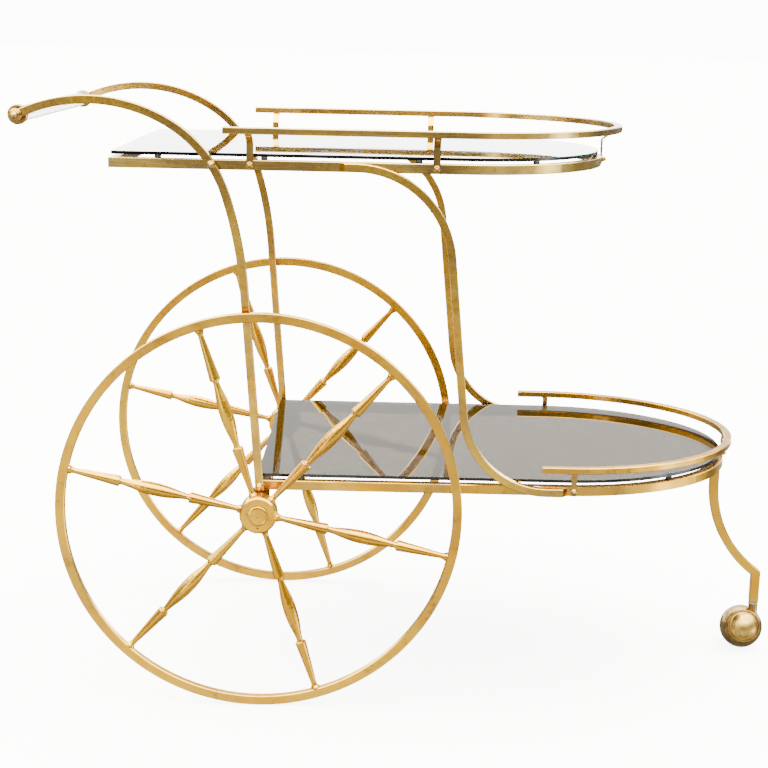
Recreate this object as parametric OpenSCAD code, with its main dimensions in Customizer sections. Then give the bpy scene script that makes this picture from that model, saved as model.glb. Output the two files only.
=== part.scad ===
// Two-tier bar trolley: a pair of large spoked wheels at the back, one hooded ball caster in front.
// X runs from the handle to the caster, Y across, Z up. The floor is Z = 0.

/* [Shelves] */
// Half of the outer width of both shelf frames
half_w = 209; // [195:1:225]
// Side of the square bar of the shelf frames
frame_bar = 12; // [10:0.5:14]
// Height of the underside of the top shelf frame
top_z = 667; // [640:1:700]
// Height of the underside of the lower shelf frame
low_z = 272.5; // [265:0.5:290]
// From the wheel axle back to the rear end of the top frame
top_rear = 183.5; // [170:0.5:200]
// From the wheel axle to where the top shelf starts to round
top_round_x = 242; // [230:1:250]
// Length of the rounded nose of the top frame
top_nose = 185; // [175:1:205]
// From the wheel axle to where the lower shelf starts to round
low_round_x = 381; // [360:1:400]
// Length of the rounded nose of the lower frame
low_nose = 229; // [205:1:240]
// Thickness of the glass
glass_t = 4; // [3:0.5:6]
// How far the glass stays inside the frame's outer edge
glass_inset = 5; // [3:0.5:8]
// Height of the rubber pads between frame and glass
pad_h = 3.5; // [2:0.5:6]

/* [Gallery rails] */
// Width of the rail bar, across the rail
rail_w = 10; // [6:0.5:12]
// Height of the rail bar
rail_h = 8; // [6:0.5:10]
// Height of the top rail's underside above the top frame
top_rail_rise = 32; // [24:0.5:40]
// Height of the lower rail's underside above the lower frame
low_rail_rise = 18.5; // [14:0.5:30]
// Rail centre line outside the top frame's outer face
top_rail_out = 20; // [14:0.5:24]
// Rail centre line outside the lower frame's outer face
low_rail_out = 4.5; // [3:0.5:8]
// From the wheel axle back to the free ends of the top rail
top_rail_back = 45; // [30:1:52]
// From the wheel axle to the free ends of the lower rail
low_rail_start = 348; // [330:1:370]
// Width of the flat posts of the top rail
top_post_w = 8.5; // [6:0.5:10]
// Width of the flat posts of the lower rail
low_post_w = 7; // [6:0.5:10]
// Thickness of the flat posts
post_t = 2; // [1.5:0.25:3]

/* [Arms and braces] */
// Side of the square bar of the arms and braces
arm_bar = 10; // [8:0.5:12]
// Lean of the arms away from upright, at their straight lower part
arm_lean = 4.54; // [3:0.01:6]
// Length of the straight lower part of each arm
arm_run = 250.2; // [240:0.1:255]
// Bend radius and turn of each arm, from the straight part to the handle
arm_bends = [[500, 13.4], [150, 42.6], [190, 58.4]];
// Where the braces leave the top frame, from the wheel axle
brace_start_x = 112; // [108:1:120]
// Upper and lower bend radius of the braces
brace_bends = [118, 106];
// Steepest slope of the braces
brace_slope = 84.3; // [80:0.1:88]
// Length of each brace's level ends along the frames
brace_lap = [19.5, 26];

/* [Handle] */
// Diameter of the clear grip
grip_d = 19; // [16:0.5:24]
// Diameter of the collars at the grip's ends
ferrule_d = 24; // [20:0.5:28]
// Thickness of the collars
ferrule_t = 8; // [4:0.5:10]

/* [Wheels] */
// Outer diameter of the big wheels
wheel_d = 500; // [498:1:502]
// From one wheel's middle plane to the other's
track = 472; // [470:1:480]
// Radial height of the rim bar
rim_h = 11.5; // [9:0.5:13]
// Width of the rim
rim_w = 10; // [9:0.5:12]
// Number of spokes
spokes = 6; // [6:1:6]
// Angle of the first spoke below level, towards the front
spoke_angle = -12.3; // [-30:0.1:30]
// Diameter of the hubs
hub_d = 46; // [44:1:50]
// Width of the hubs
hub_w = 24; // [22:1:26]
// Diameter of the axle
axle_d = 12; // [10:1:12]

/* [Caster] */
// Diameter of the ball caster
ball_d = 59; // [56:0.5:59]
// Stem axis, from the wheel axle
stem_x = 669.5; // [665:0.5:675]
// How far the ball trails behind its stem
trail = 14.5; // [12:0.5:16]
// Tilt of the ball's axle from level: the hood faces up, the wheel faces down
ball_tilt = 20; // [16:1:24]
// Height of the lower end of the leg
leg_end_z = 67; // [66:0.5:70]
// Bend radius of the leg
leg_bend = 154; // [150:1:156]

/* [Hidden] */
$fn = 72;
eps = 0.05;                        // running clearance between turned parts
chamfer = 0.8;                     // softened edge of every brass bar
root2 = sqrt(2);

axle_z = wheel_d / 2;
top_mid_z = top_z + frame_bar / 2;
low_mid_z = low_z + frame_bar / 2;
arm_y = half_w + arm_bar / 2;      // middle plane of arms and braces
top_glass_z = top_z + frame_bar + pad_h;
low_glass_z = low_z + frame_bar + pad_h;
low_rear = frame_bar / 2;          // the lower frame ends just behind the axle
leg_x = low_round_x + low_nose - frame_bar / 2;
ball_x = stem_x - trail;
ball_r = ball_d / 2;

// Position on the centre line of an arm, [x, z], after the straight part and n whole bends
arm_foot = [-0.5, low_mid_z - 4.5];
function lean_after(n) = n == 0 ? arm_lean : lean_after(n - 1) + arm_bends[n - 1][1];
function arc_step(r, from, to) = [-r * (cos(from) - cos(to)), r * (sin(to) - sin(from))];
function arm_at(n) = n == 0
    ? arm_foot + arm_run * [-sin(arm_lean), cos(arm_lean)]
    : arm_at(n - 1) + arc_step(arm_bends[n - 1][0], lean_after(n - 1), lean_after(n));
// The arm crosses the top frame in its second bend
cross_lean = asin(sin(lean_after(1)) + (top_mid_z - arm_at(1)[1]) / arm_bends[1][0]);
top_bolt_x = (arm_at(1) + arc_step(arm_bends[1][0], lean_after(1), cross_lean))[0];
low_bolt_x = arm_foot[0] - 4.5 * tan(arm_lean);
// The grip's tie rod goes through the arms a little before their ends
grip_back = 8;
grip_lean = lean_after(3) - grip_back / arm_bends[2][0] * 180 / PI;
grip_at = arm_at(2) + arc_step(arm_bends[2][0], lean_after(2), grip_lean);

// The origin is on the floor, under the middle of the whole length
back_x = grip_at[0] - ferrule_d / 2;
front_x = ball_x + ball_r * cos(ball_tilt - 18);
mid_x = (back_x + front_x) / 2;

// Rail posts: [x of each pair, and the nose]
top_posts = [-14.5, 208];
low_posts = [388.5];
top_front = top_round_x + top_nose;
low_front = low_round_x + low_nose;

// Bolts through the frames
bolt_d = 4;
tie_d = 5;
nut_d = 9;
cap_nut_h = 6;
bolt_head_d = 8.5;
bolt_head_h = 2.5;

// Wheel, from the middle plane outwards and inwards
rim_in = wheel_d / 2 - rim_h;
hub_in = track / 2 - hub_w / 2;
hub_out = track / 2 + hub_w / 2;
recess_r = 11;                     // turned in the hub's outer face, for the axle nut
recess_depth = 8;
bush_r = 8;
end_r = 5;                         // the axle's threaded ends
washer_t = 1.5;
nut_h = 6;
foot_r = 5.6;                      // flared foot of a spoke
seat_r = hub_d / 2 - 0.6;          // flat on the hub that a spoke's foot stands on
spigot_r = 3;
hanger_t = 4;
hanger_w = 22;
hanger_y = half_w - frame_bar / 2;

// Caster
stem_r = 4;
stem_up = 34;
collar_h = 5;
stem_in = 8;                       // the stem's length inside the hood's neck
neck_r = 6.4;
skin_r = ball_r - 0.7;             // the hood and the wheel's back are a little smaller than the tread
hollow_r = 26;
gap_at = 0.3;                      // the hood's edge, up the axle from the ball's middle
tread_at = 0.9;                    // the tread's edge, down the axle
tread_in_r = 23;
pin_r = 3;
cap_face = 17;                     // the hood's face under its cap
cap_r = 19.6;

BRASS = [0.80, 0.62, 0.30];
SMOKE = [0.06, 0.07, 0.07];
BLACK = [0.05, 0.05, 0.05];
CLEAR = [0.93, 0.93, 0.90];
NYLON = [0.85, 0.83, 0.76];
BRONZE = [0.55, 0.43, 0.26];

// ---- Helpers -------------------------------------------------------------------------------

module placed() translate([-mid_x, 0, 0]) children();

// Both sides of the trolley, mirrored about its middle plane
module both_sides() {
    children();
    mirror([0, 1, 0]) children();
}

// A rectangle about the origin with softened corners
module section(w, h, c = chamfer) {
    polygon([
        [c - w / 2, -h / 2], [w / 2 - c, -h / 2], [w / 2, c - h / 2], [w / 2, h / 2 - c],
        [w / 2 - c, h / 2], [c - w / 2, h / 2], [-w / 2, h / 2 - c], [-w / 2, c - h / 2]
    ]);
}

// Short band round a joint of a bent bar, a hair proud of it
hair = 0.02;
module band(w, h, c) rotate([90, 0, 90]) translate([0, 0, -0.15]) linear_extrude(0.3)
    section(w + 2 * hair, h + 2 * hair, c);

// A bar that starts at the origin along +X and follows a list of [length, 0] and [radius, turn]
module bent_bar(path, w, h, c = chamfer, i = 0) {
    if (i < len(path)) {
        size = path[i][0];
        turn = path[i][1];
        side = turn < 0 ? -1 : 1;
        if (i > 0) band(w, h, c);
        if (turn == 0) {
            rotate([90, 0, 90]) translate([0, 0, hair / 2]) linear_extrude(size - hair)
                section(w, h, c);
            translate([size, 0, 0]) bent_bar(path, w, h, c, i + 1);
        } else {
            gap = hair / 2 / size * 180 / PI;
            translate([0, side * size, 0]) {
                rotate([0, 0, (turn < 0 ? 90 + turn : -90) + gap])
                    rotate_extrude(angle = abs(turn) - 2 * gap, $fn = 180)
                        translate([size, 0]) section(w, h, c);
                rotate([0, 0, turn]) translate([0, -side * size, 0])
                    bent_bar(path, w, h, c, i + 1);
            }
        }
    }
}

// Radii of a shelf's rounded front: two side arcs of 45 degrees and a nose arc of 90 degrees
function side_r(nose, half) = (nose - half * (root2 - 1)) / (2 - root2);
function nose_r(nose, half) = side_r(nose, half) - root2 * (side_r(nose, half) - half);
function shelf_path(run, nose, half) = [
    [run, 0], [side_r(nose, half), 45], [nose_r(nose, half), 90], [side_r(nose, half), 45], [run, 0]
];

// A bar bent round a shelf: rear is its back end, out is its centre line outside the outer face
module shelf_bar(rear, round_x, nose, out, z, w, h) {
    translate([rear, -half_w - out, z])
        bent_bar(shelf_path(round_x - rear, nose + out, half_w + out), w, h);
}

// Outline of a sheet with a shelf's shape on its right side, from the rear edge to the tip
function half_outline(start, round_x, nose, half, corner) =
    let(s = side_r(nose, half), n = nose_r(nose, half)) concat(
        [for (a = [90:-15:0]) [start + corner * (1 - sin(a)), -half + corner * (1 - cos(a))]],
        [for (a = [0:1.5:45]) [round_x + s * sin(a), s - half - s * cos(a)]],
        [for (a = [-43.5:1.5:0]) [round_x + (s - n) / root2 + n * cos(a), n * sin(a)]]
    );
function across(list) = [for (i = [len(list) - 1:-1:0]) [list[i][0], -list[i][1]]];

// A layer of a glass sheet, drawn in by 'inset' from the frame's outer face
module glass_layer(rear, round_x, nose, inset, z, h) {
    right = half_outline(rear + inset, round_x, nose - inset, half_w - inset, 5);
    translate([0, 0, z]) linear_extrude(h) polygon(concat(right, across(right)));
}

// A sheet of glass with its edges eased by a hair all round
module shelf_glass(rear, round_x, nose, z) {
    ease = 0.4;
    back = rear + 2 - glass_inset;
    glass_layer(back, round_x, nose, glass_inset + ease, z, glass_t);
    glass_layer(back, round_x, nose, glass_inset, z + ease, glass_t - 2 * ease);
}

module bore(r, h) cylinder(r = r, h = h, center = true);

// Along Y, centred at x, z
module cross_bore(x, z, r, h) translate([x, 0, z]) rotate([90, 0, 0]) bore(r, h);

// A turned piece lying along +Y: the profile is a list of [radius, distance]
module turned_y(points) rotate([-90, 0, 0]) rotate_extrude() polygon(points);

module pad(x, y, z) translate([x, y, z]) rotate_extrude()
    polygon([[0, 0], [4, 0], [4, pad_h - 0.5], [3.5, pad_h], [0, pad_h]]);

// ---- Shelves -------------------------------------------------------------------------------

// Holes for bolts through a frame. Where the bar is curved, its inside is spot-faced for the head.
module frame_bolt_holes(z, xs, curved_xs, front_x) {
    spot_r = bolt_head_d / 2 + 0.35;
    for (x = concat(xs, curved_xs)) cross_bore(x, z, bolt_d / 2 + 0.1, 3 * half_w);
    for (x = curved_xs) both_sides()
        translate([x, half_w - frame_bar - 1.5, z]) rotate([90, 0, 0]) bore(spot_r, 3);
    translate([front_x, 0, z]) rotate([0, 90, 0]) bore(bolt_d / 2 + 0.1, 60);
    translate([front_x - frame_bar - 1.5, 0, z]) rotate([0, 90, 0]) bore(spot_r, 3);
}

module top_frame() color(BRASS) placed() difference() {
    shelf_bar(-top_rear, top_round_x, top_nose, -frame_bar / 2, top_mid_z, frame_bar, frame_bar);
    frame_bolt_holes(top_mid_z, concat(top_posts, [top_bolt_x]), [], top_front);
}

module crossbar(rear, z) {
    inner = half_w - frame_bar;
    translate([rear + frame_bar / 2, -inner, z]) rotate([-90, 0, 0])
        linear_extrude(2 * inner) section(frame_bar, frame_bar);
}

module top_crossbar() color(BRASS) placed() crossbar(-top_rear, top_mid_z);

module top_glass() color(SMOKE) placed()
    shelf_glass(-top_rear, top_round_x, top_nose, top_glass_z);

module top_glass_pads() color(BLACK) placed() {
    z = top_z + frame_bar;
    both_sides() for (x = [-125, 2, 187]) pad(x, half_w - 7.5, z);
    both_sides() pad(329, 176, z);
    pad(top_front - 7.5, 0, z);
}

module lower_frame() color(BRASS) placed() difference() {
    shelf_bar(-low_rear, low_round_x, low_nose, -frame_bar / 2, low_mid_z, frame_bar, frame_bar);
    frame_bolt_holes(low_mid_z, [low_bolt_x], low_posts, low_front);
}

module lower_crossbar() color(BRASS) placed() difference() {
    crossbar(-low_rear, low_mid_z);
    for (side = [-1, 1])
        translate([0, side * (half_w - frame_bar), 0])
            cross_bore(low_bolt_x, low_mid_z, bolt_head_d / 2 + 0.3, 2 * bolt_head_h + 1);
}

module lower_glass() color(SMOKE) placed()
    shelf_glass(-low_rear, low_round_x, low_nose, low_glass_z);

module lower_glass_pads() color(BLACK) placed() {
    z = low_z + frame_bar;
    both_sides() pad(50, half_w - 7.5, z);
    both_sides() pad(514, 158, z);
    pad(low_front - 7.5, 0, z);
}

// ---- Gallery rails -------------------------------------------------------------------------

// Blind hole in a rail's underside for the screw of a post
module screw_hole(rise, out) translate([0, -out, frame_bar / 2 + rise]) bore(1.6, 8.6);

module top_rail() color(BRASS) placed() difference() {
    shelf_bar(-top_rail_back, top_round_x, top_nose, top_rail_out,
        top_z + frame_bar + top_rail_rise + rail_h / 2, rail_w, rail_h);
    at_posts(top_posts, top_front, top_mid_z) screw_hole(top_rail_rise, top_rail_out);
}

module lower_rail() color(BRASS) placed() difference() {
    shelf_bar(low_rail_start, low_round_x, low_nose, low_rail_out,
        low_z + frame_bar + low_rail_rise + rail_h / 2, rail_w, rail_h);
    at_posts(low_posts, low_front, low_mid_z) screw_hole(low_rail_rise, low_rail_out);
}

// A flat post on the frame's outer face, joggled out to a tab under the rail.
// It stands at the origin with the frame's face at Y = 0 and its middle height at Z = 0.
module post(w, rise, out) {
    top = frame_bar / 2 + rise;
    low = -frame_bar / 2 + 0.5;
    knee = top - max(6, out * 0.6);
    tab = out + rail_w / 2 - 1;
    difference() {
        translate([w / 2, 0, 0]) rotate([90, 0, -90]) linear_extrude(w) polygon([
            [0, low], [0, knee], [out - 4, top], [tab, top], [tab, top - post_t],
            [max(post_t, out - 3), top - post_t], [post_t, knee - 0.5], [post_t, low]
        ]);
        cross_bore(0, 0, bolt_d / 2 + 0.1, 20);
        translate([0, -out, top]) bore(1.6, 3 * post_t);
    }
}

// Puts a child that is drawn for the right side at both sides and at the nose
module at_posts(xs, front_x, z) {
    both_sides() for (x = xs) translate([x, -half_w, z]) children();
    translate([front_x, 0, z]) rotate([0, 0, 90]) children();
}

module top_rail_posts() color(BRASS) placed() at_posts(top_posts, top_front, top_mid_z)
    post(top_post_w, top_rail_rise, top_rail_out);

module lower_rail_posts() color(BRASS) placed() at_posts(low_posts, low_front, low_mid_z)
    post(low_post_w, low_rail_rise, low_rail_out);

// Round-headed screw that holds the post's tab to the rail, seen from below
module rail_screw(rise, out) {
    tab_z = frame_bar / 2 + rise - post_t;
    translate([0, -out, tab_z - 2.2]) rotate_extrude()
        polygon([[0, 0], [1.4, 0.2], [2.2, 1], [2.4, 2.2], [1.5, 2.2], [1.5, 8.2], [0, 8.2]]);
}

module rail_screws() color(BRASS) placed() {
    at_posts(top_posts, top_front, top_mid_z) rail_screw(top_rail_rise, top_rail_out);
    at_posts(low_posts, low_front, low_mid_z) rail_screw(low_rail_rise, low_rail_out);
}

// A bolt whose head is inside the frame, drawn for the right side: grip is what it clamps
module frame_bolt(grip) {
    translate([0, frame_bar, 0]) mirror([0, 1, 0]) turned_y([
        [0, -bolt_head_h], [bolt_head_d / 2 - 0.8, -bolt_head_h],
        [bolt_head_d / 2, 0.8 - bolt_head_h], [bolt_head_d / 2, 0], [bolt_d / 2, 0],
        [bolt_d / 2, grip + 3], [0, grip + 3]
    ]);
}

// Domed cap nut on the outer face at Y = 0, growing towards -Y
module cap_nut(d, h) {
    r = d / 2;
    mirror([0, 1, 0]) turned_y(concat(
        [[bolt_d / 2 + eps, 0], [r + 0.8, 0], [r + 0.8, 0.8], [r, 1.2], [r, 0.45 * h]],
        [for (a = [10:10:80]) [0.8 * r * cos(a), 0.45 * h + 0.55 * h * sin(a)]],
        [[0, h], [0, 3.4], [bolt_d / 2 + eps, 3.4]]
    ));
}

module post_bolts() color(BRASS) placed() {
    at_posts(top_posts, top_front, top_mid_z) frame_bolt(frame_bar + post_t);
    at_posts(low_posts, low_front, low_mid_z) frame_bolt(frame_bar + post_t);
}

module post_cap_nuts() color(BRASS) placed() {
    at_posts(top_posts, top_front, top_mid_z) translate([0, -post_t, 0]) cap_nut(nut_d - 2, cap_nut_h);
    at_posts(low_posts, low_front, low_mid_z) translate([0, -post_t, 0]) cap_nut(nut_d - 2, cap_nut_h);
}

// ---- Arms, braces and handle ---------------------------------------------------------------

// Bent in the XZ plane: the bar helper works in XY, so it is turned upright
module arm_shape() difference() {
    translate([arm_foot[0], 0, arm_foot[1]]) rotate([90, 0, 0]) rotate([0, 0, 90 + arm_lean])
        bent_bar(concat([[arm_run, 0]], arm_bends), arm_bar, arm_bar);
    cross_bore(low_bolt_x, low_mid_z, bolt_d / 2 + 0.1, 3 * arm_bar);
    cross_bore(top_bolt_x, top_mid_z, bolt_d / 2 + 0.1, 3 * arm_bar);
    cross_bore(grip_at[0], grip_at[1], tie_d / 2 + 0.1, 3 * arm_bar);
}

module arm_left() color(BRASS) placed() translate([0, arm_y, 0]) arm_shape();
module arm_right() color(BRASS) placed() translate([0, -arm_y, 0]) arm_shape();

module at_arm_bolts() both_sides() {
    translate([top_bolt_x, -half_w, top_mid_z]) children();
    translate([low_bolt_x, -half_w, low_mid_z]) children();
}

module arm_bolts() color(BRASS) placed() at_arm_bolts() frame_bolt(frame_bar + arm_bar);
module arm_cap_nuts() color(BRASS) placed()
    at_arm_bolts() translate([0, -arm_bar, 0]) cap_nut(nut_d, cap_nut_h);

// S-shaped brace, from the top frame's side down and forward to the lower frame's side.
// Its ends are bevelled back to the frame over the bevel length.
bevel = 6;
brace_drop = top_mid_z - low_mid_z;
brace_straight = (brace_drop - (brace_bends[0] + brace_bends[1]) * (1 - cos(brace_slope)))
    / sin(brace_slope);
brace_end_x = brace_start_x + (brace_bends[0] + brace_bends[1]) * sin(brace_slope)
    + brace_straight * cos(brace_slope) + brace_lap[1];

// Wedge that bevels a brace end: the tip is on the frame's face at Y = 0
module bevel_cut(x, z, forward) translate([x, 0, z]) mirror([forward > 0 ? 1 : 0, 0, 0])
    linear_extrude(2 * arm_bar, center = true)
        polygon([[-1, 0], [0, 0], [bevel, arm_bar], [bevel, arm_bar + 1], [-1, arm_bar + 1]]);

module brace_shape() difference() {
    translate([brace_start_x - brace_lap[0], arm_bar / 2, top_mid_z]) rotate([90, 0, 0])
        bent_bar([[brace_lap[0], 0], [brace_bends[0], -brace_slope], [brace_straight, 0],
            [brace_bends[1], brace_slope], [brace_lap[1], 0]], arm_bar, arm_bar);
    bevel_cut(brace_start_x - brace_lap[0], top_mid_z, -1);
    bevel_cut(brace_end_x, low_mid_z, 1);
}

module brace_left() color(BRASS) placed() translate([0, half_w, 0]) brace_shape();
module brace_right() color(BRASS) placed() mirror([0, 1, 0]) translate([0, half_w, 0]) brace_shape();

module at_grip() translate([grip_at[0], 0, grip_at[1]]) children();

module handle_grip() color(CLEAR) placed() at_grip() {
    half = half_w - ferrule_t;
    turned_y([
        [tie_d / 2 + 0.4, -half], [grip_d / 2 - 1, -half], [grip_d / 2, 1 - half],
        [grip_d / 2, half - 1], [grip_d / 2 - 1, half], [tie_d / 2 + 0.4, half]
    ]);
}

module handle_tie_rod() color(BRASS) placed() at_grip()
    rotate([90, 0, 0]) bore(tie_d / 2, 2 * (half_w + arm_bar + 3.5));

module grip_ferrules() color(BRASS) placed() at_grip() both_sides()
    translate([0, half_w - ferrule_t, 0]) turned_y([
        [tie_d / 2 + eps, 0], [grip_d / 2 + 0.5, 0], [ferrule_d / 2 - 0.6, 0.8],
        [ferrule_d / 2, 1.6], [ferrule_d / 2, ferrule_t - 1], [ferrule_d / 2 - 1, ferrule_t],
        [tie_d / 2 + eps, ferrule_t]
    ]);

// Stepped end nuts of the handle, outside the arms
module handle_cap_nuts() color(BRASS) placed() at_grip() both_sides()
    translate([0, half_w + arm_bar, 0]) turned_y(concat(
        [[tie_d / 2 + eps, 0], [8, 0], [8, 1.5], [7, 2.2], [6, 2.6], [6, 6], [5.4, 6.8]],
        [for (a = [0:15:75]) [4.6 * cos(a), 7 + 5.5 * sin(a)]],
        [[0, 12.5], [0, 4.2], [tie_d / 2 + eps, 4.2]]
    ));

// ---- Axle and wheels -----------------------------------------------------------------------

module axle_hangers() color(BRASS) placed() both_sides()
    translate([0, hanger_y, 0]) difference() {
        union() {
            cross_bore(0, axle_z, hanger_w / 2, hanger_t);
            translate([-hanger_w / 2, -hanger_t / 2, axle_z])
                cube([hanger_w, hanger_t, low_z - axle_z]);
        }
        cross_bore(0, axle_z, axle_d / 2 + eps, 2 * hanger_t);
    }

shoulder_y = hub_out - recess_depth + 0.3;
axle_end_y = shoulder_y + washer_t + nut_h + 1;

module axle() color(BRASS) placed() translate([0, 0, axle_z]) turned_y([
    [0, -axle_end_y], [end_r - 0.8, -axle_end_y], [end_r, 0.8 - axle_end_y], [end_r, -shoulder_y],
    [axle_d / 2, -shoulder_y], [axle_d / 2, shoulder_y], [end_r, shoulder_y],
    [end_r, axle_end_y - 0.8], [end_r - 0.8, axle_end_y], [0, axle_end_y]
]);

module axle_ring(from, to, r_in, r_out) both_sides() translate([0, from, axle_z])
    turned_y([[r_in, 0], [r_out - 0.4, 0], [r_out, 0.4], [r_out, to - from - 0.4],
        [r_out - 0.4, to - from], [r_in, to - from]]);

module axle_spacers() color(BRASS) placed()
    axle_ring(hanger_y + hanger_t / 2, hub_in - 0.3, axle_d / 2 + eps, 9);

module axle_washers() color(BRASS) placed()
    axle_ring(shoulder_y, shoulder_y + washer_t, end_r + eps, 9);

module axle_nuts() color(BRASS) placed() both_sides()
    translate([0, shoulder_y + washer_t, axle_z]) rotate([-90, 0, 0]) difference() {
        cylinder(d = 16 / cos(30), h = nut_h, $fn = 6);
        translate([0, 0, nut_h / 2]) bore(end_r + eps, 2 * nut_h);
    }

// Everything of a wheel is drawn in its middle plane and moved to its side
module at_wheel(side) placed() translate([0, side * track / 2, axle_z])
    mirror([0, side < 0 ? 1 : 0, 0]) children();

module rim() difference() {
    rotate([90, 0, 0]) rotate_extrude($fn = 180)
        translate([rim_in + rim_h / 2, 0]) section(rim_h, rim_w, chamfer);
    at_spokes() translate([0, 0, rim_in - 5]) cylinder(r = spigot_r, h = 10);
}

module at_spokes() for (i = [0:spokes - 1])
    rotate([0, 90 - spoke_angle - i * 360 / spokes, 0]) children();

// Half of a turned spoke, from its foot to its middle: [share of the length, radius]
spoke_len = rim_in - 0.1 - seat_r;
spoke_half = [
    [0, foot_r], [0.008, foot_r], [0.02, 4.1], [0.035, 3.5], [0.10, 4.4], [0.19, 5.6],
    [0.275, 6.8], [0.29, 7], [0.297, 6.6], [0.30, 4.4], [0.312, 3.8], [0.345, 4.6],
    [0.385, 6.1], [0.42, 7.3], [0.46, 8.1], [0.485, 8.3]
];
spoke_last = len(spoke_half) - 1;

module spoke() translate([0, 0, seat_r]) rotate_extrude() polygon(concat(
    [[0, -6.8], [spigot_r - eps, -6.8], [spigot_r - eps, 0]],
    [for (p = spoke_half) [p[1], p[0] * spoke_len]],
    [for (i = [spoke_last:-1:0])
        [spoke_half[i][1], (1 - spoke_half[i][0]) * spoke_len]],
    [[spigot_r - eps, spoke_len], [spigot_r - eps, spoke_len + 4], [0, spoke_len + 4]]
));

module hub() difference() {
    rotate([-90, 0, 0]) rotate_extrude() polygon([
        [bush_r, -hub_w / 2], [hub_d / 2 - 1.5, -hub_w / 2], [hub_d / 2, 1.5 - hub_w / 2],
        [hub_d / 2, hub_w / 2 - 2], [hub_d / 2 - 2, hub_w / 2], [recess_r, hub_w / 2],
        [recess_r, hub_w / 2 - recess_depth], [bush_r, hub_w / 2 - recess_depth]
    ]);
    at_spokes() {
        translate([0, 0, seat_r - 7]) cylinder(r = spigot_r, h = 20);
        translate([0, 0, seat_r]) cylinder(r = foot_r + 0.3, h = 20);
    }
    // Small spanner hole in the outer face, just under the cap
    translate([0, hub_w / 2, -15.2]) rotate([90, 0, 0]) bore(1.8, 6);
}

module bush() rotate([-90, 0, 0]) rotate_extrude() polygon([
    [axle_d / 2 + eps, -hub_w / 2], [bush_r, -hub_w / 2],
    [bush_r, hub_w / 2 - recess_depth], [axle_d / 2 + eps, hub_w / 2 - recess_depth]
]);

// Cap over the axle nut, its spigot pressed in the hub's recess
module hub_cap() translate([0, hub_w / 2, 0]) turned_y([
    [0, 1.6], [recess_r - 0.8, 1.6], [recess_r - 0.8, -3], [recess_r, -3], [recess_r, 0],
    [12.5, 0], [12.5, 2.6], [11.8, 3.6], [10.4, 4], [9.6, 3.7], [0, 4]
]);

module rim_left() color(BRASS) at_wheel(1) rim();
module spokes_left() color(BRASS) at_wheel(1) at_spokes() spoke();
module hub_left() color(BRASS) at_wheel(1) hub();
module bush_left() color(NYLON) at_wheel(1) bush();
module hub_cap_left() color(BRASS) at_wheel(1) hub_cap();
module rim_right() color(BRASS) at_wheel(-1) rim();
module spokes_right() color(BRASS) at_wheel(-1) at_spokes() spoke();
module hub_right() color(BRASS) at_wheel(-1) hub();
module bush_right() color(NYLON) at_wheel(-1) bush();
module hub_cap_right() color(BRASS) at_wheel(-1) hub_cap();

// ---- Front leg and caster ------------------------------------------------------------------

// The leg bends forward until its middle line reaches the stem's axis, then drops straight down
leg_reach = stem_x - leg_x;
leg_turn = acos(1 - leg_reach / leg_bend);
leg_bend_z = leg_end_z + 41.5 + leg_bend * sin(leg_turn);

kink_z = leg_bend_z - leg_bend * sin(leg_turn);
leg_bore = stem_up - collar_h + 1;

module front_leg() color(BRASS) placed() difference() {
    union() {
        // Bent part, cut off flush with the front face of the straight end
        intersection() {
            translate([leg_x, 0, low_z]) rotate([0, 90, 0]) rotate([90, 0, 0])
                bent_bar([[low_z - leg_bend_z, 0], [leg_bend, leg_turn], [16, 0]],
                    frame_bar, frame_bar);
            translate([leg_x - frame_bar, -frame_bar, 0])
                cube([leg_reach + 1.5 * frame_bar, 2 * frame_bar, low_z]);
        }
        translate([stem_x, 0, leg_end_z]) linear_extrude(kink_z - 3 - leg_end_z)
            section(frame_bar, frame_bar);
    }
    translate([stem_x, 0, leg_end_z - 1]) cylinder(r = stem_r + eps, h = leg_bore + 1);
}

module at_stem(z) placed() translate([stem_x, 0, z]) children();

module leg_collar() color(BLACK) at_stem(leg_end_z - collar_h) rotate_extrude() polygon([
    [stem_r + eps, 0], [6.5, 0], [6.8, 0.4], [6.8, 1.6], [6.2, 1.9], [6.2, 2.9],
    [6.8, 3.2], [6.8, 4.6], [6.4, collar_h], [stem_r + eps, collar_h]
]);

neck_top = leg_end_z - collar_h - 0.3;

module caster_stem() color(BRONZE) at_stem(neck_top - stem_in)
    rotate_extrude() polygon([
        [0, 0], [stem_r, 0], [stem_r, stem_up + stem_in - 1], [stem_r - 1, stem_up + stem_in],
        [0, stem_up + stem_in]
    ]);

// A turned part of the ball: the profile is [radius, distance up the tilted axle from its middle]
module on_axle(points) at_stem(0) translate([-trail, 0, ball_r]) rotate([90 - ball_tilt, 0, 0])
    rotate_extrude() polygon(points);
function arc_points(r, from, step, to) = [for (a = [from:step:to]) [r * cos(a), r * sin(a)]];

// Hollow half ball that doesn't turn on the axle, with a neck for the stem
module caster_hood() color(BRONZE) difference() {
    union() {
        on_axle(concat(
            [[pin_r, 3], [6, 3], [6, 14.5]],
            arc_points(hollow_r, 33.9, -5.5, 0.9),
            [[hollow_r, gap_at], [skin_r, gap_at]],
            arc_points(skin_r, 3, 3, 39),
            [[22.2, 18.9], [21.6, 19.4], [20.7, 19.4], [20.2, 18.7], [20.2, cap_face],
                [pin_r, cap_face]]
        ));
        at_stem(ball_r + 19) rotate_extrude() polygon([
            [0, 0], [neck_r, 0], [neck_r, neck_top - ball_r - 19.6],
            [neck_r - 0.6, neck_top - ball_r - 19], [0, neck_top - ball_r - 19]
        ]);
    }
    at_stem(neck_top - stem_in) cylinder(r = stem_r, h = 2 * stem_in);
}

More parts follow.
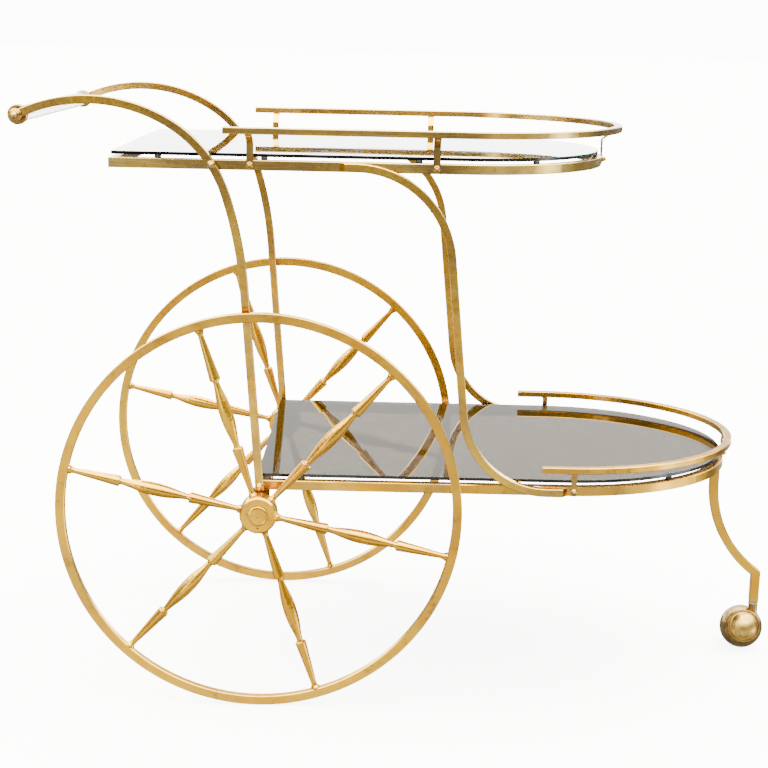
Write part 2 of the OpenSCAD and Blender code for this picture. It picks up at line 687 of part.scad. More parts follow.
// Domed cap inside the hood's bright ring
dome_r = 24;
dome_from = acos(18.2 / dome_r);
module caster_cap() color(BRASS) on_axle(concat(
    [[0, cap_face], [cap_r, cap_face], [cap_r, 18.1], [19, 18.9], [18.5, 19]],
    [for (a = [dome_from:(90 - dome_from) / 10:89.9])
        [dome_r * cos(a), 19.2 + dome_r * (sin(a) - sin(dome_from))]],
    [[0, 19.2 + dome_r * (1 - sin(dome_from))]]
));

module caster_pin() color(BRONZE) on_axle([
    [0, -20], [pin_r - 0.6, -20], [pin_r, -19.4], [pin_r, 16], [pin_r - 0.6, 16.6], [0, 16.6]
]);

// The half ball that rolls, under the hood: a solid back with a rubber tread round its edge
tread_end = arc_points(ball_r, -ball_tilt - 12, 3, -ball_tilt - 12)[0][1];
module caster_wheel() color(BRONZE) on_axle(concat(
    [[0, -20.5], [pin_r + eps, -20.5], [pin_r + eps, 2.5], [6, 2.5], [6, -tread_at],
        [tread_in_r, -tread_at], [tread_in_r, tread_end]],
    arc_points(skin_r, -34, -4, -86),
    [[0, -skin_r]]
));

module caster_tread() color(BLACK) on_axle(concat(
    [[tread_in_r, -tread_at], [ball_r - 0.6, -tread_at]],
    arc_points(ball_r, -ball_tilt + 18, -3, -ball_tilt - 12),
    [[tread_in_r, tread_end]]
));

top_frame();
top_crossbar();
top_glass();
top_glass_pads();
top_rail();
top_rail_posts();
lower_frame();
lower_crossbar();
lower_glass();
lower_glass_pads();
lower_rail();
lower_rail_posts();
rail_screws();
post_bolts();
post_cap_nuts();
arm_left();
arm_right();
arm_bolts();
arm_cap_nuts();
brace_left();
brace_right();
handle_grip();
handle_tie_rod();
grip_ferrules();
handle_cap_nuts();
axle_hangers();
axle();
axle_spacers();
axle_washers();
axle_nuts();
rim_left();
spokes_left();
hub_left();
bush_left();
hub_cap_left();
rim_right();
spokes_right();
hub_right();
bush_right();
hub_cap_right();
front_leg();
leg_collar();
caster_stem();
caster_hood();
caster_cap();
caster_pin();
caster_wheel();
caster_tread();
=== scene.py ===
# %% [markdown]
# # A two-tier bar cart in brass and smoked glass
# The cart's shapes come ready made from its CAD model: bars, shelves, wheels and caster, each a named
# node that already rides on the right moving body. What is left for Blender is what a maker does last:
# polishing, tinting, wearing in, and the small fillets of solder at the joints.
# The first cell loads that model.

# %% Load the cart
import math

import bmesh
import bpy
from mathutils import Matrix, Vector


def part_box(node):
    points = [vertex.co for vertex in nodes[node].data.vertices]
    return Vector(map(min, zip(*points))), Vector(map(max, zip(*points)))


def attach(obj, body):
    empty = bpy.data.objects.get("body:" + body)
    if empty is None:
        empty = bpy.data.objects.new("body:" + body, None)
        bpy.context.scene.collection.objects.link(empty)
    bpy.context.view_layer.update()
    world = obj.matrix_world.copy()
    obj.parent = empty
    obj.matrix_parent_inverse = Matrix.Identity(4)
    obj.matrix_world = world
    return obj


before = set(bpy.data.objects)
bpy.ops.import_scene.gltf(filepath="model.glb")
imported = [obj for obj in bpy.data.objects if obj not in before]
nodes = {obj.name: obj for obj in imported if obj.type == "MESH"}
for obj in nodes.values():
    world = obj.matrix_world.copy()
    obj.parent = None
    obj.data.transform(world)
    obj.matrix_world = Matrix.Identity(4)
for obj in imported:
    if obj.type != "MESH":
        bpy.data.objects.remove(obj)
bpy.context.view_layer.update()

# %% [markdown]
# ## Camera
# A cart is usually shown from its side, from a little above the top shelf, with a long lens, so that both
# shelves read as surfaces and the far wheel shows behind the near one. The camera's place is given
# outright, and its three axes are built from a heading, a downward tilt and a slight roll.

# %% Camera
camera_at = Vector((-0.0316, -2.1738, 0.8439))
heading, tilt, roll = math.radians(-0.26), math.radians(12.45), math.radians(1.21)
look = Vector((math.sin(heading) * math.cos(tilt), math.cos(heading) * math.cos(tilt),
               -math.sin(tilt)))
level_right = Vector((math.cos(heading), -math.sin(heading), 0))
level_up = level_right.cross(look)
right = math.cos(roll) * level_right + math.sin(roll) * level_up
up = math.cos(roll) * level_up - math.sin(roll) * level_right

camera = bpy.data.objects.new("side_camera", bpy.data.cameras.new("side_camera"))
bpy.context.scene.collection.objects.link(camera)
camera.matrix_world = Matrix((right, up, -look)).transposed().to_4x4()
camera.location = camera_at
camera.data.lens = 77.08
camera.data.sensor_width = 36
bpy.context.scene.camera = camera
print("camera at", [round(v, 3) for v in camera.location], "lens", camera.data.lens)

# %% [markdown]
# ## Two helpers
# Every mesh and every material below starts in the same way, so each start is a helper. A mesh is drawn
# with Blender's mesh tools and placed in the scene with its faces shaded smooth. A material is made with
# its nodes switched on, and its node tree and main shader are handed back with it.

# %% Mesh and material helpers
def mesh_object(name, bm):
    mesh = bpy.data.meshes.new(name)
    bm.to_mesh(mesh)
    bm.free()
    for face in mesh.polygons:
        face.use_smooth = True
    made = bpy.data.objects.new(name, mesh)
    bpy.context.scene.collection.objects.link(made)
    return made


def new_finish(name):
    made = bpy.data.materials.new(name)
    made.use_nodes = True
    return made, made.node_tree, made.node_tree.nodes["Principled BSDF"]


# %% [markdown]
# ## Floor
# The floor is a pale sheet, far wider than the cart, so that no edge of it shows from any side. It isn't a
# piece of the cart. It glows, like a table lit from below, so that the shadows on it stay soft.
# Mirror-bright brass would pick up the pale floor on every upright face and lose its colour, so the floor
# is left out of reflections, and the brass shows the darker lower part of the room instead.

# %% Floor
floor_reach = 60        # metres from the middle to each edge
floor_drop = 0.0003     # metres below the wheels, so that the two don't fight for one surface

sheet = bmesh.new()
bmesh.ops.create_grid(sheet, x_segments=8, y_segments=8, size=floor_reach)
floor = mesh_object("floor", sheet)
floor.location.z = -floor_drop
floor.visible_glossy = False

pale, tree, shader = new_finish("pale_table")
shader.inputs["Base Color"].default_value = (0.9, 0.9, 0.89, 1)
shader.inputs["Roughness"].default_value = 0.9
shader.inputs["Emission Color"].default_value = (1, 0.99, 0.97, 1)
shader.inputs["Emission Strength"].default_value = 7
floor.data.materials.append(pale)
print("floor", [round(v, 1) for v in floor.dimensions])

# %% [markdown]
# ## Backdrop
# The floor ends somewhere, and the room behind it is darker, so a line would show where they meet. Fading
# the floor out would need a trick that only works from one side. A shell of pale paper, far off all round,
# hides the join from everywhere. It is for the eye only: it doesn't light the cart, throws no shadow and
# doesn't show in the brass.

# %% Backdrop
shell_radius = 45

shell = bmesh.new()
bmesh.ops.create_uvsphere(shell, u_segments=48, v_segments=24, radius=shell_radius)
backdrop = mesh_object("backdrop", shell)
for unseen in ("visible_glossy", "visible_diffuse", "visible_shadow", "visible_volume_scatter"):
    setattr(backdrop, unseen, False)

paper, tree, shader = new_finish("pale_paper")
shader.inputs["Base Color"].default_value = (0, 0, 0, 1)
shader.inputs["Specular IOR Level"].default_value = 0
shader.inputs["Emission Color"].default_value = (1, 1, 1, 1)
shader.inputs["Emission Strength"].default_value = 12.5
backdrop.data.materials.append(paper)
print("backdrop", [round(v, 1) for v in backdrop.dimensions])

# %% [markdown]
# ## Arithmetic with nodes
# The room's light and every finish are worked out by chains of small nodes. Three steps come back all the
# time: fit a value's range to another range, do one sum, and go from one value to another by a share.
# Written as helpers, they let a long chain read like a formula.

# %% Arithmetic with nodes
def fitted(tree, value, low, high, out_low, out_high):
    """The value's range low..high, moved to out_low..out_high and cut off outside it."""
    fit = tree.nodes.new("ShaderNodeMapRange")
    for socket, number in zip(("From Min", "From Max", "To Min", "To Max"),
                              (low, high, out_low, out_high)):
        fit.inputs[socket].default_value = number
    tree.links.new(value, fit.inputs["Value"])
    return fit.outputs["Result"]


def sums(tree, kind, first, second):
    """One step of arithmetic: each side is a socket or a number."""
    step = tree.nodes.new("ShaderNodeMath")
    step.operation = kind
    for socket, value in zip(step.inputs, (first, second)):
        if isinstance(value, (int, float)):
            socket.default_value = value
        else:
            tree.links.new(value, socket)
    return step.outputs[0]


def mixed(tree, share, first, second):
    """From first to second as share goes from 0 to 1."""
    rest = sums(tree, "MULTIPLY", first, sums(tree, "SUBTRACT", 1, share))
    return sums(tree, "ADD", rest, sums(tree, "MULTIPLY", second, share))


# %% [markdown]
# ## Room light by height
# Polished brass shows its surroundings more than its own colour, so the room is drawn as bands by height.
# A picture of a real room would do this too, but bands are easy to tune one at a time. Overhead it is
# bright, which whitens the upper faces. The walls are dimmer, which keeps the lower sheet of glass dark,
# and the lower half is darkest just at eye level, which gives the upright faces their deep gold.

# %% Bands of light by height
world = bpy.data.worlds.new("studio")
bpy.context.scene.world = world
world.use_nodes = True
room = world.node_tree
room.nodes.clear()

direction = room.nodes.new("ShaderNodeTexCoord").outputs["Generated"]
parts = room.nodes.new("ShaderNodeSeparateXYZ")
room.links.new(direction, parts.inputs[0])
depth, rise = parts.outputs["Y"], parts.outputs["Z"]

# Each pair is a height, from 0 straight down to 1 straight up with eye level at 0.5, and a brightness.
band_list = ((0.00, 0.055), (0.30, 0.105), (0.40, 0.115), (0.455, 0.050), (0.485, 0.030),
             (0.500, 0.03), (0.555, 0.06), (0.585, 0.125), (0.70, 0.14), (0.80, 0.85))
bands = room.nodes.new("ShaderNodeValToRGB")
for at, bright in band_list[2:]:
    bands.color_ramp.elements.new(at)
for stop, (at, bright) in zip(bands.color_ramp.elements, band_list):
    stop.position = at
    stop.color = (bright, bright * 0.965, bright * 0.89, 1)
room.links.new(fitted(room, rise, -1, 1, 0, 1), bands.inputs["Fac"])
print("room bands:", len(bands.color_ramp.elements))

# %% [markdown]
# ## Uneven sides
# A real room isn't the same all round. Soft clouds stand for the things in its lower half, and put the
# brown patches in the upright faces. The room is dimmer above eye level on the viewer's side and below it
# on the far side, so that the sides of a bar differ from its front. Overhead it stays even.

# %% Uneven sides
things = room.nodes.new("ShaderNodeTexNoise")
things.inputs["Scale"].default_value = 3.0
things.inputs["Detail"].default_value = 2.0
room.links.new(direction, things.inputs["Vector"])
uneven = fitted(room, things.outputs["Fac"], 0.38, 0.60, 0.25, 1.35)

near_side = fitted(room, depth, -0.4, 0.4, 1, 0)
low_part = sums(room, "MULTIPLY", uneven, mixed(room, near_side, 0.45, 1.1))
walls = mixed(room, near_side, 1, 0.30)
below = fitted(room, rise, -0.03, 0.0, 1, 0)
overhead = fitted(room, rise, 0.35, 0.6, 0, 1)
strength = mixed(room, overhead, mixed(room, below, walls, low_part), 1)
print("nodes in the room so far:", len(room.nodes))

# %% [markdown]
# ## Lit foot of the far wall, and a low lamp
# The wall behind the cart is lit along its foot, and the top sheet of glass, seen nearly edge on, mirrors
# that strip and turns pale. A low lamp on the right puts a bright spot on the bend of each shelf's nose.
# Both are drawn in the room rather than made as lamps, because they are there to be mirrored in glass
# and brass.

# %% Lit foot and low lamp
on_foot = sums(room, "MULTIPLY", fitted(room, rise, -0.006, 0.004, 0, 1),
               fitted(room, rise, 0.11, 0.16, 1, 0))
lit_foot = sums(room, "MULTIPLY", on_foot, fitted(room, depth, 0.45, 0.85, 0, 1))
toward_lamp = room.nodes.new("ShaderNodeVectorMath")
toward_lamp.operation = "DOT_PRODUCT"
toward_lamp.inputs[1].default_value = Vector((0.95, -0.16, -0.26)).normalized()
room.links.new(direction, toward_lamp.inputs[0])
low_lamp = fitted(room, toward_lamp.outputs["Value"], 0.95, 0.992, 0, 1)
glow = sums(room, "MAXIMUM", lit_foot, sums(room, "MULTIPLY", low_lamp, 0.5))

# %% [markdown]
# ## The whole room
# Bands, uneven sides, lit foot and low lamp are joined into one colour and one strength. Where the foot
# or the lamp shines, it takes over from the bands, and the unevenness of the sides fades out.

# %% The whole room
room_strength = 12      # how bright a band of brightness 1 shines

whole_room = room.nodes.new("ShaderNodeMix")
whole_room.data_type = "RGBA"
whole_room.inputs["B"].default_value = (0.85, 0.85, 0.83, 1)
room.links.new(glow, whole_room.inputs["Factor"])
room.links.new(bands.outputs["Color"], whole_room.inputs["A"])
room_light = room.nodes.new("ShaderNodeBackground")
room_out = room.nodes.new("ShaderNodeOutputWorld")
room.links.new(whole_room.outputs["Result"], room_light.inputs["Color"])
evened = mixed(room, sums(room, "MINIMUM", glow, 1), strength, 1)
room.links.new(sums(room, "MULTIPLY", evened, room_strength), room_light.inputs["Strength"])
room.links.new(room_light.outputs[0], room_out.inputs["Surface"])
print("nodes in the whole room:", len(room.nodes))

# %% [markdown]
# ## Soft panels
# Two wide soft lamps add what the room alone doesn't: a long highlight along every bar, and soft shadows
# on the floor. A small lamp would give hard sparks instead. A wide rectangle high above suits the shelves,
# and a narrow warm one at the side draws a line of light down each bent bar.

# %% Soft panels
panel_aim = Vector((0.1, 0, 0.4))


def soft_panel(name, at, width, height, watts, tint):
    lamp = bpy.data.lights.new(name, "AREA")
    lamp.shape = "RECTANGLE"
    lamp.size, lamp.size_y = width, height
    lamp.energy = watts
    lamp.color = tint
    placed = bpy.data.objects.new(name, lamp)
    bpy.context.scene.collection.objects.link(placed)
    placed.location = at
    placed.rotation_mode = "QUATERNION"
    placed.rotation_quaternion = (panel_aim - Vector(at)).to_track_quat("-Z", "Y")


soft_panel("top_panel", (0.2, 0.3, 2.8), 2.4, 1.6, 60, (1, 1, 1))
soft_panel("front_panel", (-1.6, -2.4, 0.5), 0.4, 1.2, 12, (1, 0.92, 0.80))

# %% [markdown]
# ## Helpers for the finishes
# Each finish is a small net of nodes on the principled shader. The same few steps come back in all of
# them: take a place on the piece in metres, make a cloudy pattern there, mix two colours by it, and press
# it into the surface as relief. Places in metres are used instead of unwrapped maps, because a pattern
# then has its true size on every bar, however that bar was bent.

# %% Finish helpers
def surface_place(tree, stretch=(1, 1, 1)):
    """Where a point lies on the piece, in metres, squeezed along each axis by stretch."""
    place = tree.nodes.new("ShaderNodeTexCoord")
    squeeze = tree.nodes.new("ShaderNodeMapping")
    squeeze.inputs["Scale"].default_value = stretch
    tree.links.new(place.outputs["Object"], squeeze.inputs["Vector"])
    return squeeze.outputs["Vector"]


def clouds(tree, place, per_metre, detail=3.0, rough=0.5):
    """A cloudy pattern from 0 to 1, with about so many clouds to a metre."""
    noise = tree.nodes.new("ShaderNodeTexNoise")
    noise.inputs["Scale"].default_value = per_metre
    noise.inputs["Detail"].default_value = detail
    noise.inputs["Roughness"].default_value = rough
    tree.links.new(place, noise.inputs["Vector"])
    return noise.outputs["Fac"]


def blend_colours(tree, share, first, second):
    """From first to second by share: each colour is a socket or three numbers."""
    mix = tree.nodes.new("ShaderNodeMix")
    mix.data_type = "RGBA"
    tree.links.new(share, mix.inputs["Factor"])
    for socket, colour in ((mix.inputs["A"], first), (mix.inputs["B"], second)):
        if isinstance(colour, tuple):
            socket.default_value = (*colour, 1)
        else:
            tree.links.new(colour, socket)
    return mix.outputs["Result"]


def relief(tree, shader, *layers):
    """Stacks bumps on the shader: each layer is (height, depth in metres)."""
    below = None
    for height, deep in layers:
        bump = tree.nodes.new("ShaderNodeBump")
        bump.inputs["Distance"].default_value = deep
        tree.links.new(height, bump.inputs["Height"])
        if below:
            tree.links.new(below, bump.inputs["Normal"])
        below = bump.outputs["Normal"]
    tree.links.new(below, shader.inputs["Normal"])


# %% [markdown]
# ## Brass
# The cart's bars are square brass bar, brushed along their length and lacquered. It could be one plain
# gold, but three things are laid into the colour: a slow change from light to deep gold, broad dark
# patches of painted shade that stand in for dark things mirrored in the bars, and small brown stains where
# the lacquer let go. Each is its own cloudy pattern at its own size. The wheels and the low bars are the
# richest gold, the top shelf's bars the palest, and the bent bars lie between. Fine grain sets the gloss,
# and a very low wave in the surface makes the mirror images bend slightly, as they do in bar that was bent
# by hand.

# %% Brass
rich_gold = ((0.96, 0.56, 0.03), (0.84, 0.42, 0.015))
middle_gold = ((0.94, 0.60, 0.08), (0.78, 0.45, 0.05))
pale_gold = ((0.92, 0.64, 0.16), (0.72, 0.46, 0.10))
# Painted shade: the dark brown of the broad patches, standing in for dark things mirrored in the bars.
painted_shade_colour = (0.37, 0.24, 0.09)
brown_stain = (0.24, 0.12, 0.04)

# Each pattern is its clouds to a metre, its layers of detail, and how strong those layers are.
tone_clouds = (14, 3, 0.6)
patch_clouds = (11, 2, 0.5)
stain_clouds = (55, 6, 0.7)
wave_clouds = (45, 2, 0.5)
grain_clouds = (1, 3, 0.7)
wave_deep, grain_deep = 0.0003, 0.00002


def brass(name, grain_place, golds, stain_from=0.56, gloss=(0.13, 0.30), painted_shade_share=0.75):
    made, tree, shader = new_finish(name)
    place = surface_place(tree)
    grain_at = grain_place(tree)
    tone = fitted(tree, clouds(tree, place, *tone_clouds), 0.38, 0.62, 0, 1)
    colour = blend_colours(tree, tone, *golds)
    # Broad patches of painted shade, up to the share set for each finish.
    painted_shade_patches = fitted(tree, clouds(tree, place, *patch_clouds), 0.42, 0.60, 0, painted_shade_share)
    colour = blend_colours(tree, painted_shade_patches, colour, painted_shade_colour)
    stain = fitted(tree, clouds(tree, place, *stain_clouds), stain_from, 0.80, 0, 1)
    colour = blend_colours(tree, stain, colour, brown_stain)
    tree.links.new(colour, shader.inputs["Base Color"])
    grain = clouds(tree, grain_at, *grain_clouds)
    tree.links.new(fitted(tree, grain, 0.3, 0.7, *gloss), shader.inputs["Roughness"])
    relief(tree, shader, (clouds(tree, place, *wave_clouds), wave_deep), (grain, grain_deep))
    shader.inputs["Metallic"].default_value = 1
    return made


# %% [markdown]
# ## Which way the brass was brushed
# Grain is a cloudy pattern squeezed hard across the bar and left long along it. The shelf frames and rails
# run along the cart, the posts stand upright, and the bent arms, braces and leg turn through every
# direction, so theirs is fine all ways and finest across the bar's width.

# %% Grain on straight and bent bars
def along_x(tree):
    return surface_place(tree, (18, 900, 900))


def along_z(tree):
    return surface_place(tree, (900, 900, 18))


def all_ways(tree):
    return surface_place(tree, (300, 900, 300))


top_bar_brass = brass("top_bar_brass", along_x, pale_gold, painted_shade_share=0.7)
low_bar_brass = brass("low_bar_brass", along_x, rich_gold, painted_shade_share=0.5)
upright_brass = brass("upright_brass", along_z, middle_gold)
curved_brass = brass("curved_brass", all_ways, middle_gold, gloss=(0.15, 0.26), painted_shade_share=0.6)
leg_brass = brass("leg_brass", all_ways, rich_gold, gloss=(0.15, 0.26), painted_shade_share=0.15)
print("nodes in one brass:", len(leg_brass.node_tree.nodes))

# %% [markdown]
# ## Brass on the wheels
# Rims and spokes are turned, so their marks run round the axle, not along the cart. The grain is worked
# out from the distance to the axle and the angle round it. Rims and spokes get far less of the painted
# shade than the frame.

# %% Wheel brass
axle_low, axle_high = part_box("axle")
axle_at = (axle_low + axle_high) / 2
print("axle at", [round(v, 4) for v in axle_at])


def round_axle(tree, across, round_it):
    """Distance from the axle, place along it and angle round it, each at its own scale."""
    place = tree.nodes.new("ShaderNodeTexCoord")
    shift = tree.nodes.new("ShaderNodeVectorMath")
    shift.operation = "SUBTRACT"
    shift.inputs[1].default_value = axle_at
    split = tree.nodes.new("ShaderNodeSeparateXYZ")
    join = tree.nodes.new("ShaderNodeCombineXYZ")
    tree.links.new(place.outputs["Object"], shift.inputs[0])
    tree.links.new(shift.outputs[0], split.inputs[0])
    x, y, z = split.outputs
    squares = sums(tree, "ADD", sums(tree, "MULTIPLY", x, x), sums(tree, "MULTIPLY", z, z))
    distance = sums(tree, "SQRT", squares, 0.5)
    angle = sums(tree, "ARCTAN2", z, x)
    tree.links.new(sums(tree, "MULTIPLY", distance, across), join.inputs[0])
    tree.links.new(sums(tree, "MULTIPLY", y, across), join.inputs[1])
    tree.links.new(sums(tree, "MULTIPLY", angle, round_it), join.inputs[2])
    return join.outputs[0]


def rim_grain(tree):
    return round_axle(tree, 900, 6)


def spoke_grain(tree):
    return round_axle(tree, 1400, 3)


rim_brass = brass("rim_brass", rim_grain, rich_gold, painted_shade_share=0.25)
spoke_brass = brass("spoke_brass", spoke_grain, rich_gold, stain_from=0.60, gloss=(0.16, 0.32), painted_shade_share=0.2)

# %% [markdown]
# ## Cast and aged brass
# The caster's hood, cap and wheel are castings. They were never brushed, so they show a close mottle of
# gold and brown with a slight orange-peel relief. The hangers that carry the axle sit in the shadow under
# the frame, and get the hood's dark finish as painted shade. The cap and the solder at the joints have a
# brighter one.

# %% Cast and aged brass
def cast_brass(name, gold, brown, soil):
    made, tree, shader = new_finish(name)
    place = surface_place(tree)
    mottle = clouds(tree, place, 260, detail=8, rough=0.75)
    colour = blend_colours(tree, fitted(tree, mottle, 0.35, 0.65, 0, 1), gold, brown)
    soiled = fitted(tree, clouds(tree, place, 70), 0.45, 0.75, 0, 0.7)
    tree.links.new(blend_colours(tree, soiled, colour, soil), shader.inputs["Base Color"])
    tree.links.new(fitted(tree, mottle, 0.3, 0.7, 0.22, 0.42), shader.inputs["Roughness"])
    relief(tree, shader, (mottle, 0.00006))
    shader.inputs["Metallic"].default_value = 1
    return made


bright_cast = cast_brass("bright_cast", (0.88, 0.60, 0.15), (0.46, 0.28, 0.06), (0.30, 0.18, 0.05))
# The dark finish is the caster's own aged bronze, and on the axle hangers it is painted shade.
aged_and_shaded = cast_brass("aged_brass", (0.50, 0.34, 0.10), (0.20, 0.12, 0.03), (0.12, 0.08, 0.03))
print("cast finishes:", bright_cast.name, aged_and_shaded.name)

# %% [markdown]
# ## Smoked glass
# The shelves are thin sheets of dark tinted glass. Seen low across, they are nearly mirrors, so the gloss
# matters more than the tint. The cut edges look darker and greener than the face, because light there
# travels the long way through the sheet. Facing up or sideways is what tells the two apart. Faint smudges
# change the gloss a little, and a very low wave keeps the mirror image from being perfect.

# %% Smoked glass
smoked, tree, shader = new_finish("smoked_glass")
surface = tree.nodes.new("ShaderNodeNewGeometry")
facing = tree.nodes.new("ShaderNodeSeparateXYZ")
tree.links.new(surface.outputs["Normal"], facing.inputs[0])
flat_share = sums(tree, "ABSOLUTE", facing.outputs["Z"], 0)
tint = blend_colours(tree, flat_share, (0.004, 0.012, 0.008), (0.020, 0.017, 0.013))
tree.links.new(tint, shader.inputs["Base Color"])
smudges = clouds(tree, surface_place(tree, (1, 2.5, 1)), 9, detail=6, rough=0.7)
tree.links.new(fitted(tree, smudges, 0.45, 0.75, 0.012, 0.06), shader.inputs["Roughness"])
relief(tree, shader, (clouds(tree, surface_place(tree), 6, detail=1), 0.00012))
shader.inputs["Transmission Weight"].default_value = 1
shader.inputs["IOR"].default_value = 1.52
print("made", smoked.name)

# %% [markdown]
# ## Rubber
# The pads under the glass and the caster's tread are black rubber with a little dust in its pores. Plain
# black would look like a hole, so fine specks lift its colour and roughen its gloss.

# %% Rubber
rubber, tree, shader = new_finish("black_rubber")
place = surface_place(tree)
dust = clouds(tree, place, 300, detail=5)
dusty = blend_colours(tree, fitted(tree, dust, 0.5, 0.8, 0, 1), (0.007, 0.007, 0.007),
                      (0.030, 0.028, 0.025))
tree.links.new(dusty, shader.inputs["Base Color"])
tree.links.new(fitted(tree, dust, 0.3, 0.7, 0.5, 0.75), shader.inputs["Roughness"])
relief(tree, shader, (clouds(tree, place, 1500, detail=2), 0.00004))
print("made", rubber.name)

# %% [markdown]
# ## Clear grip
# The handle is a clear round rod of cast plastic. Hands have left long, very fine scuffs along it, which
# show in the gloss and, very slightly, in the tint.

# %% Clear grip
clear, tree, shader = new_finish("clear_grip")
place = surface_place(tree, (900, 20, 900))
scuffs = clouds(tree, place, 1, detail=4, rough=0.7)
scuffed = blend_colours(tree, fitted(tree, scuffs, 0.4, 0.7, 0, 1), (0.97, 0.96, 0.93),
                        (0.92, 0.90, 0.85))
tree.links.new(scuffed, shader.inputs["Base Color"])
tree.links.new(fitted(tree, scuffs, 0.4, 0.75, 0.02, 0.12), shader.inputs["Roughness"])
relief(tree, shader, (scuffs, 0.00001))
shader.inputs["Transmission Weight"].default_value = 1
shader.inputs["IOR"].default_value = 1.49
print("made", clear.name)

# %% [markdown]
# ## Nylon and steel
# The bushes in the hubs are cream nylon, slightly mottled from moulding. The caster's stem and pin are
# turned steel, with fine rings: clouds squeezed hard along the stem, and left wide across it.

# %% Nylon
nylon, tree, shader = new_finish("nylon")
cast = clouds(tree, surface_place(tree), 400)
mottled = blend_colours(tree, cast, (0.85, 0.83, 0.76), (0.72, 0.69, 0.60))
tree.links.new(mottled, shader.inputs["Base Color"])
shader.inputs["Roughness"].default_value = 0.5
relief(tree, shader, (cast, 0.00002))
print("made", nylon.name)

# %% Turned steel
steel, tree, shader = new_finish("turned_steel")
rings = clouds(tree, surface_place(tree, (40, 40, 2500)), 1, detail=2)
ringed = blend_colours(tree, rings, (0.62, 0.61, 0.60), (0.42, 0.41, 0.40))
tree.links.new(ringed, shader.inputs["Base Color"])
tree.links.new(fitted(tree, rings, 0.3, 0.7, 0.2, 0.4), shader.inputs["Roughness"])
relief(tree, shader, (rings, 0.00001))
shader.inputs["Metallic"].default_value = 1
print("made", steel.name)

# %% [markdown]
# ## Enamelled collar
# The collar between leg and caster is dark enamel with one bright line turned round its middle. The line
# could be a ring of its own, but it stands no prouder than the enamel, so it is painted: the distance
# from the collar's middle, found from its own height, decides between dark and bright.

# %% Enamelled collar
collar_low, collar_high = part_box("leg_collar")
collar_middle = (collar_low.z + collar_high.z) / 2
collar_height = collar_high.z - collar_low.z

collar_dark, tree, shader = new_finish("enamelled_collar")
place = surface_place(tree)
height = tree.nodes.new("ShaderNodeSeparateXYZ")
tree.links.new(place, height.inputs[0])
off_middle = sums(tree, "ABSOLUTE", sums(tree, "SUBTRACT", height.outputs["Z"], collar_middle), 0)
line = fitted(tree, off_middle, 0.05 * collar_height, 0.10 * collar_height, 1, 0)
chips = clouds(tree, place, 700, detail=4)
dark = blend_colours(tree, chips, (0.015, 0.013, 0.012), (0.045, 0.035, 0.025))
tree.links.new(blend_colours(tree, line, dark, (0.40, 0.28, 0.12)), shader.inputs["Base Color"])
tree.links.new(fitted(tree, chips, 0.3, 0.7, 0.25, 0.45), shader.inputs["Roughness"])
relief(tree, shader, (chips, 0.00002))
print("collar", round(1000 * collar_height, 1), "mm high")

# %% [markdown]
# ## Solder at the joints
# The front leg and the axle's hangers are soldered under the frames, and a hollow bead of metal always
# shows round such a joint. It could be a modifier that rounds the corner, but leg and frame are two
# pieces, so the bead is its own small piece: a hollow quarter-round carried round the outline of the bar.
# The outline comes from the bar's own topmost points, so the bead fits whatever the bar's size is.

# %% Outline of a bar's top
flat_within = 0.0002    # metres by which the topmost points may differ


def top_outline(name, side=0):
    """The flat bounds of a node's topmost points, on one side of the cart if side is given."""
    points = [nodes[name].matrix_world @ v.co for v in nodes[name].data.vertices]
    if side:
        points = [p for p in points if p.y * side > 0]
    top = max(p.z for p in points)
    points = [p for p in points if top - p.z < flat_within]
    return (min(p.x for p in points), max(p.x for p in points),
            min(p.y for p in points), max(p.y for p in points), top)


print("top of the leg:", [round(v, 4) for v in top_outline("front_leg")])

# %% Solder beads
bead_size = 0.0016      # metres from the joint's corner to the bead's edge
bead_root = 0.0003      # metres that the bead reaches into the bar
corner_steps = 4        # steps in each quarter turn round the bar's corner
hollow_steps = 5        # steps in the bead's own quarter-round
quarter = math.pi / 2


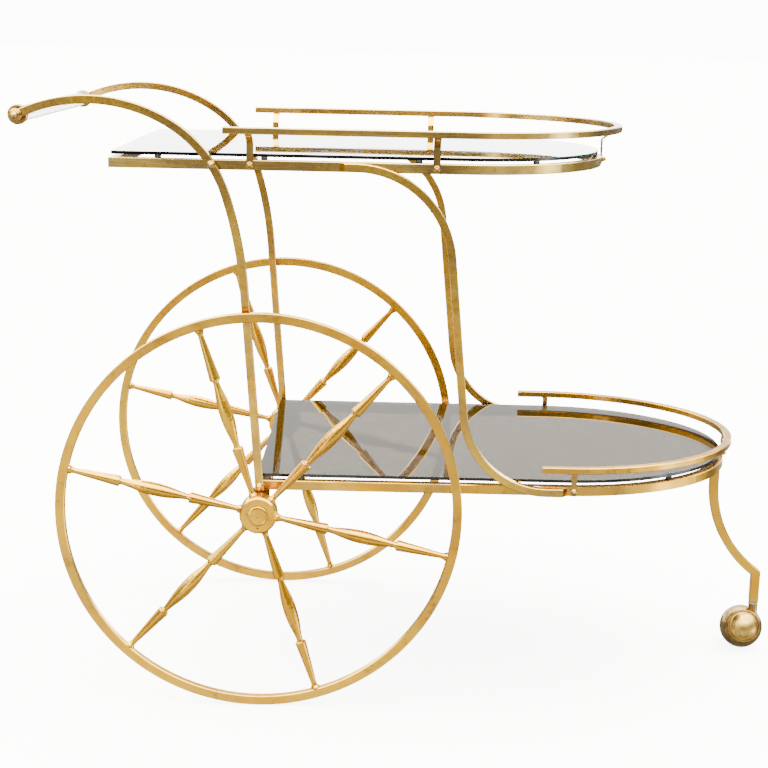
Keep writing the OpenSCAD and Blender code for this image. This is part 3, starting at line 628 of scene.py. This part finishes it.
def solder_bead(name, outline):
    x_low, x_high, y_low, y_high, top = outline
    corners = ((x_high, y_high), (x_low, y_high), (x_low, y_low), (x_high, y_low))
    bm = bmesh.new()
    loops = []
    for turn, (x, y) in enumerate(corners):
        for step in range(corner_steps + 1):
            angle = quarter * (turn + step / corner_steps)
            out = Vector((math.cos(angle), math.sin(angle), 0))
            loop = []
            for bend in range(hollow_steps + 1):
                sweep = quarter * bend / hollow_steps
                reach = bead_size * (1 - math.sin(sweep))
                drop = bead_size * (1 - math.cos(sweep))
                loop.append(bm.verts.new(Vector((x, y, top - drop)) + out * reach))
            loop.append(bm.verts.new(Vector((x, y, top)) - out * bead_root))
            loops.append(loop)
    for here, there in zip(loops, loops[1:] + loops[:1]):
        for i in range(len(here)):
            j = (i + 1) % len(here)
            bm.faces.new((here[i], here[j], there[j], there[i]))
    bmesh.ops.recalc_face_normals(bm, faces=bm.faces)
    bead = mesh_object(name, bm)
    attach(bead, "frame")
    bead.data.materials.append(bright_cast)
    print(bead.name, [round(1000 * v, 1) for v in bead.dimensions], "mm")


solder_bead("leg_solder", top_outline("front_leg"))
solder_bead("hanger_solder_left", top_outline("axle_hangers", 1))
solder_bead("hanger_solder_right", top_outline("axle_hangers", -1))

# %% [markdown]
# ## Dressing the cart
# Every node gets the finish that its real piece has. The beginnings of the names do the sorting, because
# left and right pieces of one kind are alike. Where two rows fit one name, the later row counts, so the
# posts come after the rails and the pads after the glass. What fits no row, such as screws, nuts and
# axle, is brass brushed along an upright.

# %% Which finish each node has
finish_rows = (
    (top_bar_brass, ("top_frame", "top_rail", "top_crossbar")),
    (low_bar_brass, ("lower_frame", "lower_rail", "lower_crossbar")),
    (upright_brass, ("top_rail_posts", "lower_rail_posts")),
    (curved_brass, ("arm_left", "arm_right", "brace_")),
    (leg_brass, ("front_leg",)),
    (rim_brass, ("rim_", "hub_")),
    (spoke_brass, ("spokes_",)),
    (bright_cast, ("caster_cap",)),
    # The axle hangers take the dark finish as painted shade, for the shadow under the frame.
    (aged_and_shaded, ("caster_hood", "caster_wheel", "axle_hangers")),
    (steel, ("caster_stem", "caster_pin")),
    (smoked, ("top_glass", "lower_glass")),
    (rubber, ("top_glass_pads", "lower_glass_pads", "caster_tread")),
    (nylon, ("bush_",)),
    (clear, ("handle_grip",)),
    (collar_dark, ("leg_collar",)))
finish_of = {name: upright_brass for name in nodes}
for finish, starts in finish_rows:
    for name in nodes:
        if name.startswith(starts):
            finish_of[name] = finish
print("finishes:", sorted({finish.name for finish in finish_of.values()}))

# %% Dress each node
for name, node in nodes.items():
    if not node.material_slots:
        node.data.materials.append(None)
    for held in node.material_slots:
        held.material = finish_of[name]
print("dressed:", len(finish_of), "nodes")
